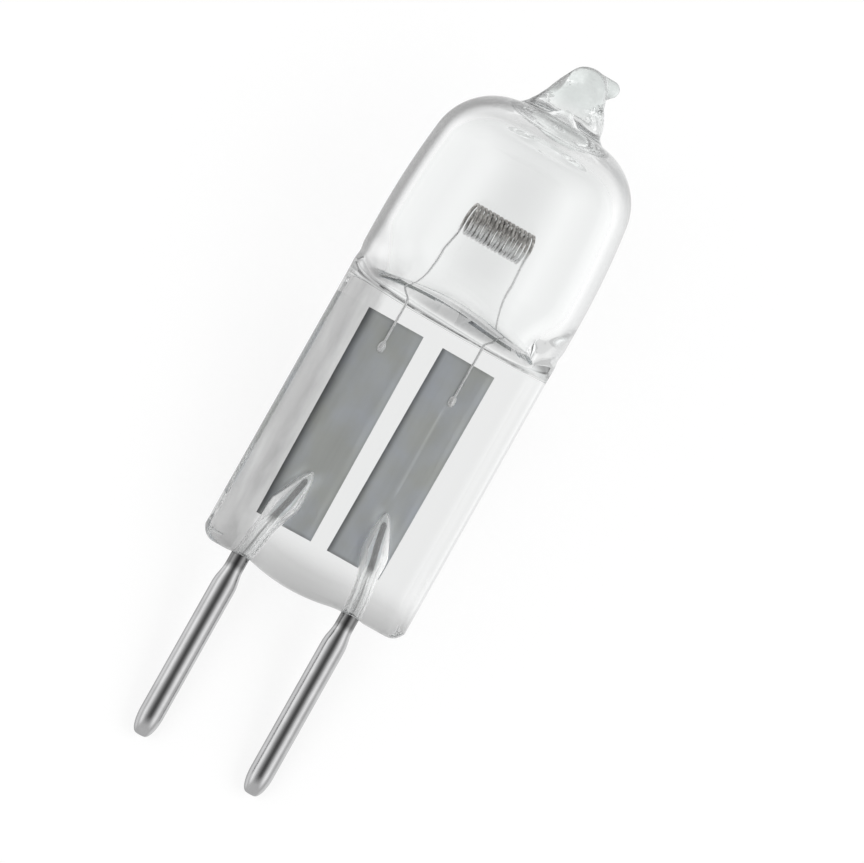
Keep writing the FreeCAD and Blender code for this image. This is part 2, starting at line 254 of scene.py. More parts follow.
def bent_path(corners: list[tuple[float, ...]], bend: float, per_bend: int, step: float) -> np.ndarray:
    """A wire's path: straight runs between corners, each corner rounded by an arc of one radius.

    The arc leaves and meets the runs at bend tan(half the turn) from the corner. At angle t it is at
    bend (sin t u + (1 - cos t) n) from where it leaves, with u the first run's direction and n the normal
    that points into the turn.

    Args:
        corners: the path's ends and the corners between them.
        bend: the radius of the arcs.
        per_bend: points on an arc.
        step: the distance between points on a run.

    Returns:
        The path's points as rows.
    """
    spots = [np.array(corner, dtype=float) for corner in corners]
    pieces = []
    here = spots[0]
    for before, corner, after in zip(spots, spots[1:], spots[2:]):
        u, v = unit(corner - before), unit(after - corner)
        turn = math.acos(float(np.clip(u @ v, -1, 1)))
        leave = corner - u * bend * math.tan(turn / 2)
        count = max(2, int(np.linalg.norm(leave - here) / step))
        pieces.append(np.linspace(here, leave, count, endpoint=False))
        t = np.linspace(0, turn, per_bend, endpoint=False)[:, None]
        pieces.append(leave + bend * (np.sin(t) * u + (1 - np.cos(t)) * unit(v - u * (u @ v))))
        here = corner + v * bend * math.tan(turn / 2)
    pieces.append(np.linspace(here, spots[-1], max(2, int(np.linalg.norm(spots[-1] - here) / step))))
    return np.vstack(pieces)


# Finishes


class NodeDesk:
    """Lays out shader nodes in a material, a world or a node group."""

    def __init__(self, tree: bpy.types.NodeTree) -> None:
        """Takes the tree that the nodes go into."""
        self.tree = tree

    def feed(self, socket: Socket, value: Feed) -> None:
        """Gives an input its value.

        Args:
            socket: the input.
            value: an output to link, a node for its first output, or else a number or three.
        """
        if isinstance(value, bpy.types.Node):
            value = value.outputs[0]
        if isinstance(value, Socket):
            self.tree.links.new(value, socket)
        else:
            socket.default_value = (*value, 1) if socket.type == "RGBA" else value

    def add(self, kind: str, *feeds: Feed, **values: object) -> bpy.types.Node:
        """Adds a node.

        Args:
            kind: the node's type, without its ShaderNode.
            *feeds: what its first inputs get, in their order.
            **values: attributes of the node, or what inputs get by their name with _ for a space.

        Returns:
            The new node.
        """
        node = self.tree.nodes.new("ShaderNode" + kind)
        for key, value in values.items():
            if hasattr(node, key):
                setattr(node, key, value)
            else:
                self.feed(node.inputs[key.replace("_", " ")], value)
        for socket, value in zip(node.inputs, feeds):
            self.feed(socket, value)
        return node

    def math(self, operation: str, first: Feed, second: Feed, clamp: bool = False) -> Socket:
        """Adds a Math node and returns its output."""
        return self.add("Math", first, second, operation=operation, use_clamp=clamp).outputs[0]

    def place(self) -> bpy.types.bpy_prop_collection:
        """Adds the place on the object, as outputs X, Y and Z."""
        return self.add("SeparateXYZ", self.add("TexCoord").outputs["Object"]).outputs

    def span(self, value: Feed, near: tuple[float, float], to: tuple[float, float] = (0.0, 1.0),
             smooth: bool = True) -> Socket:
        """Adds a Map Range node.

        Args:
            value: what it reads.
            near: the two values between which it runs.
            to: what it gives at each of them.
            smooth: whether it starts and ends gently.

        Returns:
            Its output.
        """
        return self.add("MapRange", value, From_Min=near[0], From_Max=near[1], To_Min=to[0], To_Max=to[1],
                        interpolation_type="SMOOTHSTEP" if smooth else "LINEAR").outputs[0]

    def mix(self, share: Feed, first: Feed, second: Feed, kind: str = "RGBA") -> Socket:
        """Mixes two colours, or with kind VALUE two numbers, by a share.

        Args:
            share: how much of the second there is.
            first: the first colour or number.
            second: the second one.
            kind: the type of the sockets that are mixed.

        Returns:
            The output.
        """
        node = self.add("Mix", share, data_type=kind.replace("VALUE", "FLOAT"))
        sockets = [socket for socket in node.inputs if socket.type == kind]
        self.feed(sockets[-2], first)
        self.feed(sockets[-1], second)
        return [socket for socket in node.outputs if socket.type == kind][0]

    def ramp(self, share: Feed, stops: list[tuple[float, Colour]]) -> Socket:
        """Adds a colour ramp.

        Args:
            share: what it reads, from 0 to 1.
            stops: rising places and the colour at each.

        Returns:
            The output that gives the colour.
        """
        node = self.add("ValToRGB", share)
        elements = node.color_ramp.elements
        while len(elements) < len(stops):
            elements.new(0.5)
        for element, (position, colour) in zip(elements, stops):
            element.position = position
            element.color = (*colour, 1)
        return node.outputs["Color"]

    def take_in(self, *names: str) -> bpy.types.bpy_prop_collection:
        """Gives a node group an input of numbers for each name, and returns the outputs that bring them."""
        for name in names:
            self.tree.interface.new_socket(name, in_out="INPUT", socket_type="NodeSocketFloat")
        return self.tree.nodes.new("NodeGroupInput").outputs

    def put_out(self, **values: Feed) -> bpy.types.NodeTree:
        """Gives a node group an output of numbers for each name, and returns the group."""
        for name in values:
            self.tree.interface.new_socket(name, in_out="OUTPUT", socket_type="NodeSocketFloat")
        leave = self.tree.nodes.new("NodeGroupOutput")
        for name, value in values.items():
            self.feed(leave.inputs[name], value)
        return self.tree


def cleared(owner: bpy.types.Material | bpy.types.World) -> NodeDesk:
    """Gives a new material or world an empty node tree."""
    owner.use_nodes = True
    owner.node_tree.nodes.clear()
    return NodeDesk(owner.node_tree)


@cache
def drawn_grain() -> bpy.types.NodeTree:
    """The node group for drawn or rolled metal: fine lines along the lamp and patches of stain.

    Lines are noise on coordinates that are squeezed across the lamp and stretched along it, patches are plain
    noise, and Height is the lines less half the patches.
    """
    desk = NodeDesk(bpy.data.node_groups.new("drawn_grain", "ShaderNodeTree"))
    entry = desk.take_in("Line Scale", "Stretch", "Patch Scale")
    place = desk.add("TexCoord").outputs["Object"]
    upright = desk.add("VectorRotate", place, rotation_type="Y_AXIS", Angle=REST.lean)
    squeeze = desk.add("CombineXYZ", entry["Stretch"], 1.0, 1.0)
    scaled = desk.add("VectorMath", upright, squeeze, operation="MULTIPLY")
    lines = desk.add("TexNoise", scaled, Scale=entry["Line Scale"], Detail=4.0, Roughness=0.6)
    patches = desk.add("TexNoise", place, Scale=entry["Patch Scale"], Detail=5.0, Roughness=0.55)
    height = desk.math("SUBTRACT", lines, desk.math("MULTIPLY", patches, 0.5))
    return desk.put_out(Lines=lines, Patches=patches, Height=height)


@dataclass(frozen=True)
class MetalFinish:
    """A bare or plated metal with a drawn grain and faint stains."""

    name: str
    slot: Slot
    bright: Colour
    stained: Colour
    smoothest: float
    roughest: float
    line_scale: float
    stretch: float
    patch_scale: float
    bump: float
    bump_depth: float = 0.00001
    part: Colour | None = None
    part_between: tuple[float, float] = (0.0, 0.0)
    # How strongly the mesh's painted shade darkens, and its painted highlights brighten, the colour
    edge: float = 0.0

    def coloured(self, desk: NodeDesk, colour: Socket) -> Socket:
        """Adds what a finish has beyond its stains: a part of another colour, and painted edge shade and
        painted highlights.

        Args:
            desk: where the nodes go.
            colour: the stained metal's colour.

        Returns:
            The output that gives the colour.
        """
        if self.part:
            share = desk.span(desk.place()["X"], self.part_between, smooth=False)
            colour = desk.mix(share, colour, self.part)
        # Painted shade and painted highlights, read from the mesh's attribute
        if self.edge:
            mask = desk.add("Attribute", attribute_name="painted_shade_and_glow").outputs["Fac"]
            keep = desk.math("SUBTRACT", 1.0, desk.math("MULTIPLY", mask, self.edge))
            colour = desk.add("VectorMath", colour, operation="SCALE", Scale=keep).outputs[0]
        return colour

    @cache
    def material(self) -> bpy.types.Material:
        """Builds the material."""
        material = bpy.data.materials.new(self.name)
        desk = cleared(material)
        grain = desk.add("Group", node_tree=drawn_grain(), Line_Scale=self.line_scale, Stretch=self.stretch,
                         Patch_Scale=self.patch_scale).outputs
        stain = desk.ramp(grain["Patches"], [(0.38, self.stained), (0.62, self.bright)])
        rough = desk.span(grain["Lines"], (0.3, 0.7), (self.smoothest, self.roughest), smooth=False)
        bump = desk.add("Bump", Strength=self.bump, Distance=self.bump_depth, Height=grain["Height"])
        colour = self.coloured(desk, stain)
        metal = desk.add("BsdfPrincipled", colour, Metallic=1.0, Roughness=rough, Normal=bump)
        desk.add("OutputMaterial", metal)
        return material


@dataclass(frozen=True)
class PaintedShadeAndWaves:
    """Painted shade on the seal's left flank and at its foot, and the waves that the jaws and the melting
    left in the quartz, with places along or across the lamp in metres.
    """

    seal_top: tuple[float, float] = (0.0066, 0.0050)
    foot: tuple[float, float] = (-0.0074, -0.0095)
    tip: tuple[float, float] = (0.0160, 0.0172)
    flank: float = 0.0038
    flank_width: float = 0.0007
    ragged: float = 0.0006
    streak: Colour = (0.12, 1.0, 1.0)
    fine_scale: float = 1500.0
    wave_scale: float = 420.0
    tip_lumps: float = 50.0

    def group(self) -> bpy.types.NodeTree:
        """The node group for it.

        The painted shade is a smooth step of the place across the lamp, shifted by noise that is stretched
        along it, which ends at the seal's top, plus a painted shade that grows towards the foot. Waves is
        noise, weak in the seal and strong in the melted tip.
        """
        desk = NodeDesk(bpy.data.node_groups.new("painted_shade_and_waves", "ShaderNodeTree"))
        place = desk.add("TexCoord").outputs["Object"]
        split = desk.add("SeparateXYZ", place).outputs
        seal = desk.span(split["X"], self.seal_top)
        # Painted shade on the seal's left flank: a ragged step across the lamp that ends at the seal's top
        squeeze = desk.add("VectorMath", place, self.streak, operation="MULTIPLY")
        streaks = desk.add("TexNoise", squeeze, Scale=self.fine_scale, Detail=3.0)
        shifted = desk.math("ADD", split["Y"], desk.math("MULTIPLY", streaks, self.ragged))
        step = desk.span(desk.math("SUBTRACT", shifted, self.flank), (0.0, self.flank_width))
        streaked = desk.math("ADD", 0.55, desk.math("MULTIPLY", streaks, 0.9))
        painted_flank_shade = desk.math("MULTIPLY", desk.math("MULTIPLY", step, seal), streaked)
        # Painted shade also grows towards the seal's foot
        haze = desk.math("ADD", painted_flank_shade, desk.span(split["X"], self.foot), clamp=True)
        lumps = desk.add("TexNoise", place, Scale=self.fine_scale, Detail=2.0)
        waves = desk.add("TexNoise", place, Scale=self.wave_scale, Detail=2.0)
        melted = desk.math("MULTIPLY", lumps, desk.span(split["X"], self.tip, (0.0, self.tip_lumps)))
        return desk.put_out(Haze=haze, Waves=desk.math("ADD", desk.math("MULTIPLY", waves, seal), melted))


@dataclass(frozen=True)
class QuartzFinish:
    """Clear fused quartz. Light passes straight to what lies behind it, and painted shade darkens it where it
    turns away.

    A ray that has been thrown to and fro in the wall for long leaves it straight, so none is lost as black.
    """

    name: str = "clear_quartz_glass"
    slot: Slot = Slot.QUARTZ
    tint: Colour = (0.985, 0.992, 0.99)
    ior: float = 1.458
    roughness: float = 0.0
    clearness: float = 1.0
    most_bounces: float = 5.5
    wave: float = 0.12
    wave_depth: float = 0.00002
    shade: Colour = (0.93, 0.935, 0.935)
    # Colour of the painted shade on the seal's left flank and at its foot
    haze: Colour = (0.50, 0.50, 0.50)
    tip_tint: Colour = (0.85, 0.89, 0.875)
    tip: tuple[float, float] = (0.0166, 0.0176)
    # Painted shade at the rims: dark towards the lamp's left, lighter towards its right, mid grey on the
    # seal's painted flank shade
    painted_left_rim: Colour = (0.20, 0.20, 0.20)
    painted_right_rim: Colour = (0.66, 0.67, 0.67)
    painted_flank_rim: Colour = (0.45, 0.45, 0.45)
    rim: tuple[float, float] | None = None

    def colour(self, desk: NodeDesk, haze: Socket) -> Socket:
        """Adds the colour: the tint, with painted shade on the seal's left flank and foot, and painted shade
        at the rims towards the lamp's two sides.

        Args:
            desk: where the nodes go.
            haze: the output that gives the painted shade on the seal's left flank and foot.

        Returns:
            The output that gives the colour.
        """
        # The painted shade on the seal's left flank and foot greys the tint
        clear = desk.mix(haze, self.tint, self.haze)
        clear = desk.mix(desk.span(desk.place()["X"], self.tip), clear, self.tip_tint)
        # Painted rim shade, darker where the normal points to the lamp's left
        normal = desk.add("SeparateXYZ", desk.add("NewGeometry").outputs["Normal"])
        side = desk.span(normal.outputs["Y"], (-0.5, 0.5), smooth=False)
        rim = desk.mix(haze, desk.mix(side, self.painted_right_rim, self.painted_left_rim), self.painted_flank_rim)
        facing = desk.add("LayerWeight", Blend=0.5).outputs["Facing"]
        return desk.mix(desk.span(facing, self.rim), clear, rim)

    @cache
    def material(self) -> bpy.types.Material:
        """Builds the material. Only quartz with a rim has a colour and waves that vary."""
        material = bpy.data.materials.new(self.name)
        desk = cleared(material)
        glass = desk.add("BsdfPrincipled", Metallic=0.0, Roughness=self.roughness, IOR=self.ior,
                         Transmission_Weight=self.clearness)
        colour = self.tint
        if self.rim:
            grain = desk.add("Group", node_tree=PaintedShadeAndWaves().group()).outputs
            bump = desk.add("Bump", Strength=self.wave, Distance=self.wave_depth, Height=grain["Waves"])
            desk.feed(glass.inputs["Normal"], bump)
            colour = self.colour(desk, grain["Haze"])
        desk.feed(glass.inputs["Base Color"], colour)
        clear = desk.add("BsdfTransparent", self.shade)
        path = desk.add("LightPath").outputs
        trapped = desk.math("GREATER_THAN", path["Ray Depth"], self.most_bounces)
        straight = desk.math("MAXIMUM", path["Is Shadow Ray"], trapped)
        desk.add("OutputMaterial", desk.add("MixShader", straight, glass, clear))
        return material


Finish = MetalFinish | QuartzFinish

# The outside's quartz gets the painted rim shade where it turns away
QUARTZ = QuartzFinish(rim=(0.47, 0.66))
QUARTZ_INSIDE = QuartzFinish("clear_quartz_hollows")
QUARTZ_FROSTED = QuartzFinish("frosted_quartz_round_leads", roughness=0.22, clearness=0.84)
PIN_PLATING = MetalFinish(
    "bright_nickel_plating", Slot.PIN, (0.58, 0.58, 0.585), (0.52, 0.52, 0.525), 0.12, 0.2, line_scale=6000.0,
    stretch=0.02, patch_scale=900.0, bump=0.05, part=(0.24, 0.24, 0.24), part_between=(-0.01045, -0.01015))
LEAD_METAL = MetalFinish(
    "drawn_molybdenum_wire", Slot.LEAD, (0.08, 0.08, 0.083), (0.05, 0.05, 0.052), 0.2, 0.35,
    line_scale=9000.0, stretch=0.05, patch_scale=2500.0, bump=0.15, part=(0.88, 0.88, 0.88),
    part_between=(-0.0072, -0.0076))
# The foil gets painted shade at its edges and painted highlights from its mesh's attribute
FOIL_METAL = MetalFinish(
    "rolled_molybdenum_foil", Slot.FOIL, (0.61, 0.64, 0.69), (0.57, 0.585, 0.565), 0.42, 0.55,
    line_scale=5000.0, stretch=0.06, patch_scale=260.0, bump=0.12, edge=0.6)
TUNGSTEN = MetalFinish(
    "recrystallised_tungsten", Slot.TUNGSTEN, (0.54, 0.52, 0.50), (0.26, 0.25, 0.24), 0.18, 0.45,
    line_scale=9000.0, stretch=0.6, patch_scale=5000.0, bump=0.4, bump_depth=0.00003,
    part=(0.72, 0.72, 0.72), part_between=(0.0101, 0.0097))


# Objects


def smooth(mesh: bpy.types.Mesh, sharp: float = SHARP) -> None:
    """Shades a mesh smooth, but for edges that turn by more than the sharp angle in degrees."""
    mesh.polygons.foreach_set("use_smooth", np.ones(len(mesh.polygons), dtype=bool))
    mesh.set_sharp_from_angle(angle=math.radians(sharp))


def linked(name: str, data: bpy.types.ID) -> bpy.types.Object:
    """Makes an object of a mesh, a light or a camera, and links it to the scene."""
    item = bpy.data.objects.new(name, data)
    bpy.context.scene.collection.objects.link(item)
    return item


def new_mesh_object(name: str, shell: Shell, *finishes: Finish, sharp: float = SHARP) -> bpy.types.Object:
    """Makes an object of a surface, turned and moved to where the lamp lies.

    Args:
        name: the object's name.
        shell: the surface, in the upright lamp's millimetres.
        *finishes: what it is made of.
        sharp: edges that turn by more than this many degrees stay sharp.

    Returns:
        The new object, linked to the scene.
    """
    mesh = bpy.data.meshes.new(name)
    keep = np.ones(shell.faces.shape, dtype=bool)
    keep[:, 3] = shell.faces[:, 2] != shell.faces[:, 3]
    corners, totals = shell.faces[keep], keep.sum(axis=1)
    mesh.vertices.add(len(shell.points))
    mesh.vertices.foreach_set("co", REST.points(shell.points).ravel())
    mesh.loops.add(len(corners))
    mesh.loops.foreach_set("vertex_index", corners)
    mesh.polygons.add(len(totals))
    mesh.polygons.foreach_set("loop_start", np.cumsum(totals) - totals)
    mesh.update(calc_edges=True)
    mesh.validate()
    smooth(mesh, sharp)
    for finish in finishes:
        mesh.materials.append(finish.material())
    return linked(name, mesh)


def cut_away(piece: bpy.types.Object, tool: bpy.types.Object) -> None:
    """Takes one closed surface away from another and removes the tool.

    Args:
        piece: the object that is cut and keeps its name.
        tool: the object whose space is taken out.
    """
    cut = piece.modifiers.new("cut", "BOOLEAN")
    cut.operation, cut.solver, cut.object = "DIFFERENCE", "EXACT", tool
    bpy.context.view_layer.update()
    result = bpy.data.meshes.new_from_object(piece.evaluated_get(bpy.context.evaluated_depsgraph_get()))
    spent = [piece.data, tool.data]
    piece.modifiers.clear()
    piece.data = result
    result.name = piece.name
    bpy.data.objects.remove(tool)
    for mesh in spent:
        bpy.data.meshes.remove(mesh)
    smooth(result)


def declared(piece: bpy.types.Object, node: str) -> bpy.types.Object:
    """Attaches a finished piece to the body that it rides on, hides the CAD node that it stands for, and logs
    its faces.
    """
    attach(piece, BODY)
    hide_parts(node)
    LOG.info("%s: %d faces", piece.name, len(piece.data.polygons))
    return piece


# Sub-assemblies


@dataclass
class ContactPin:
    """A bright contact pin: rounded nose, straight shank and a taper to its neck."""

    side: Side
    radius: float = 0.64
    nose: float = 1.3
    blunt: float = 0.2
    neck_radius: float = 0.49
    neck_length: float = 1.0
    taper: float = 1.2
    edge: float = 0.05
    middle: float = 0.02
    around: int = 96

    def profile(self) -> np.ndarray:
        """The side view (r, z) from the nose's middle to the middle of the neck's end."""
        r, neck, edge = self.radius, self.neck_radius, self.edge
        top = PIN_LENGTH - self.neck_length
        foot = top - self.taper
        return chain(
            np.array([(self.middle, 0.0), (self.blunt, 0.0)]),
            curve([(self.blunt, 0.0), (0.72 * r, 0.0), (r, 0.42 * self.nose), (r, self.nose)], 28),
            np.linspace((r, self.nose), (r, foot), 16),
            curve([(r, foot), (r, foot + 0.4 * self.taper), (neck, top - 0.4 * self.taper), (neck, top)], 24),
            arc((neck - edge, PIN_LENGTH - edge), edge, 0, 90, 6),
            np.array([(self.middle, PIN_LENGTH)]))

    def build(self) -> bpy.types.Object:
        """Turns the profile round the pin's axis and plates it."""
        shell = stacked(turned(self.profile(), self.around, self.side.x(PIN_SPACING / 2)))
        name = self.side.called("pin")
        return declared(new_mesh_object("bright_" + name, shell, PIN_PLATING, sharp=60.0), name)


@dataclass
class OuterLead:
    """The stiff wire between a pin and its foil, pressed flat where it is welded to the foil."""

    side: Side
    radius: float = 0.30
    rounding: float = 0.12
    reach: float = 4.6
    head_spacing: float = 4.5
    overlap: float = 0.2
    bend: float = 1.5
    seat_foot: float = 2.35
    seat_slope: float = 3.0
    around: int = 40

    def x_at(self, height: Numbers) -> Numbers:
        """Where the wire's axis is at a height: over its pin, then leaning in evenly towards its foil."""
        share = np.clip((height - PIN_LENGTH) / self.reach, 0, None)
        return self.side.x(PIN_SPACING / 2 + (self.head_spacing - PIN_SPACING) / 2 * share)

    def build(self) -> bpy.types.Object:
        """Carries a round section up the wire and flattens its back against the foil."""
        head_z = PIN_LENGTH + self.reach
        foot, head = self.x_at(0.0), self.x_at(head_z)
        path = bent_path([(foot, 0, PIN_LENGTH - self.overlap), (foot, 0, PIN_LENGTH + self.overlap),
                          (head, 0, head_z)], self.bend, 10, 0.12)
        near = np.clip(self.rounding - np.linalg.norm(path - path[-1], axis=1), 0, None)
        radius = self.radius - self.rounding + np.sqrt(self.rounding ** 2 - near ** 2)
        rings = carried(path, radius, self.around)
        seat = FOIL_FRONT + self.seat_slope * np.clip(SEAL_FOOT + self.seat_foot - rings[..., 2], 0, None)
        rings[..., 1] = np.minimum(rings[..., 1], seat)
        name = self.side.called("outer_lead")
        return declared(new_mesh_object(name + "_wire", stacked(rings), LEAD_METAL), name)


@dataclass
class SealFoil:
    """A thin foil strip with feathered edges, a little uneven where the wires are welded to it."""

    side: Side
    width: float = 3.04
    length: float = 11.6
    thickness: float = 0.04
    feather: float = 0.35
    splay: float = math.radians(0.45)
    above_foot: float = 2.34
    inwards: dict[Side, float] = field(default_factory=lambda: {Side.LEFT: 0.03, Side.RIGHT: 0.11})
    # Painted shade: how dark the left and right edges, the foot and the head are painted, and over what width
    dark_edges: tuple[tuple[float, float], ...] = ((1.0, 0.34), (0.3, 0.2), (0.6, 0.2), (0.3, 0.2))
    dark_caps: tuple[float, float] = (0.8, 0.7)
    # Painted highlights: a slanting streak on the right foil, and a glow at both sides of the lead
    painted_streak: float = 0.5
    painted_streak_between: tuple[float, float] = (3.7, 9.4)
    painted_glow: float = 0.85
    painted_glow_height: float = 3.5
    rows: int = 120
    across: int = 40

    def shade(self, s: np.ndarray, z: np.ndarray, rings: np.ndarray) -> np.ndarray:
        """How dark the metal is painted: 1 for the painted shade at the edges, 0 inside, below 0 for painted
        highlights.

        A painted highlight runs along a thin slanting streak between the right foil's two welds, and painted
        highlights lie at both sides of the lead. Both are bell curves across the foil that end gently along
        it.

        Args:
            s: places across the strip.
            z: places along it, as a column.
            rings: the strip's points.

        Returns:
            The shade at each vertex.
        """
        gaps = np.broadcast_arrays(self.width / 2 + s, self.width / 2 - s, z, self.length - z)
        dark = np.max([weight * (1 - eased(gap / reach))
                       for gap, (weight, reach) in zip(gaps, self.dark_edges)], axis=0)
        # Painted highlight along a slanting streak on the right foil
        if self.side is Side.RIGHT:
            foot, head = self.painted_streak_between
            painted_streak = bell(s + 0.012 * z, 0.15, 0.06) * eased((z - foot) / 0.8) * eased((head - z) / 0.8)
            dark = dark - self.painted_streak * painted_streak
        # Painted highlight at both sides of the lead, which also weakens the painted edge shade there
        height = rings[..., 2]
        gap = rings[..., 0] - OuterLead(self.side).x_at(height)
        painted_glow = bell(gap, -0.40, 0.26) + 0.7 * bell(gap, 0.45, 0.28)
        painted_glow = painted_glow * eased((SEAL_FOOT + self.above_foot + self.painted_glow_height - height) / 1.1)
        dark = dark * (1 - 0.7 * np.clip(painted_glow, 0, 1)) - self.painted_glow * painted_glow
        return np.concatenate([dark.ravel(), self.dark_caps])

    def build(self) -> bpy.types.Object:
        """Builds the strip and gives it its painted edge shade and painted highlights as a point attribute.

        Across, its half thickness falls off evenly over the feathered edges. Its middle surface waves by a
        few thousandths of a millimetre: the sum of two sines of the place along and across it.
        """
        half = self.width / 2
        s = np.linspace(-half, half, self.across)
        s = np.concatenate([s, s[-2:0:-1]])
        front = np.repeat([-1.0, 1.0], [self.across, self.across - 2])
        z = np.linspace(0, self.length, self.rows)[:, None]
        inside = half - np.abs(s)
        thin = np.clip(inside / self.feather, 0, 1) * self.thickness / 2
        wave = 0.008 * np.sin(1.9 * z + 1.3 * s) + 0.005 * np.sin(3.1 * s - 0.7 * z + self.side.value)
        y = FOIL_FRONT + self.thickness / 2 + front * thin + wave * np.clip(inside / 0.8, 0, 1)
        c, sn = math.cos(self.splay), math.sin(self.splay) * self.side.value
        dz = z - self.length / 2
        x = self.side.x(FOIL_SPACING / 2 - self.inwards[self.side]) + c * s + sn * dz
        height = SEAL_FOOT + self.above_foot + self.length / 2 + c * dz - sn * s
        rings = np.stack([x, y, height], axis=-1)
        name = self.side.called("foil")
        piece = new_mesh_object(name + "_strip", stacked(rings), FOIL_METAL, sharp=20.0)
        # The attribute carries the painted edge shade and the painted highlights
        shade = piece.data.attributes.new("painted_shade_and_glow", "FLOAT", "POINT")
        shade.data.foreach_set("value", self.shade(s, z, rings))
        return declared(piece, name)


@dataclass
class Filament:
    """The coil and its two legs, one wire, with a weld on each foil."""

    wire: float = 0.085
    leg_wire: float = 0.07
    coil_radius: float = 0.78
    pitch: float = 0.23
    turns: float = 14.5
    shift: float = -0.06
    coil_z: float = 30.36
    leave_z: float = 26.55
    foil_head: float = 24.2
    leg_depth: float = 0.13
    bend: float = 0.6
    weld_half: tuple[float, float, float] = (0.20, 0.09, 0.32)
    weld_sunk: float = 0.04
    steps: int = 56
    around: int = 12
    offsets: dict[Side, float] = field(default_factory=lambda: {Side.LEFT: -0.12, Side.RIGHT: 0.15})
    overlaps: dict[Side, float] = field(default_factory=lambda: {Side.LEFT: 1.7, Side.RIGHT: 2.4})
    welds: dict[Side, float] = field(default_factory=lambda: {Side.LEFT: 1.55, Side.RIGHT: 2.2})

    def leg(self, side: Side, top: np.ndarray) -> np.ndarray:
        """A leg's path from its foil up to an end of the coil."""
        x = side.x(FOIL_SPACING / 2) + self.offsets[side]
        return bent_path([(x, self.leg_depth, self.foil_head - self.overlaps[side]),
                          (x, self.leg_depth, self.leave_z), (top[0], top[1], self.coil_z - 0.9), tuple(top)],
                         self.bend, 12, 0.15)

    def coil(self) -> np.ndarray:
        """The coil's path: a helix along X, cos and sin of the turn in Y and Z, which wanders a little."""
        t = np.linspace(0, self.turns * 2 * np.pi, int(self.turns * self.steps) + 1)
        wander = 0.02 * np.sin(1.7 * t) + 0.012 * np.sin(0.31 * t + 1)
        x = self.shift - self.turns * self.pitch / 2 + self.pitch * t / (2 * np.pi)
        x = x + wander * np.sin(np.pi * t / t[-1])
        r = self.coil_radius
        return np.stack([x, r * np.cos(t), self.coil_z + r * np.sin(t)], axis=-1)

    def weld(self, side: Side) -> Shell:
        """A flattened drop where a leg is welded to its foil: an ellipsoid."""
        ball = turned(arc((0, 0), 1.0, -88, 88, 25), 32)
        return stacked(ball * np.array(self.weld_half)
                       + np.array([side.x(FOIL_SPACING / 2) + self.offsets[side], FOIL_FRONT - self.weld_sunk,
                                   self.foil_head - self.welds[side]]))

    def build(self) -> bpy.types.Object:
        """Carries the round wire up one leg, round the coil and down the other leg, and adds the welds."""
        coil = self.coil()
        path = np.vstack([self.leg(Side.LEFT, coil[0])[:-1], coil, self.leg(Side.RIGHT, coil[-1])[::-1][1:]])
        radius = np.where(path[:, 2] < self.coil_z - self.coil_radius, self.leg_wire, self.wire)
        shell = stacked(carried(path, radius, self.around))
        for side in Side:
            shell = shell.joined(self.weld(side))
        return declared(new_mesh_object("tungsten_filament", shell, TUNGSTEN), "filament")


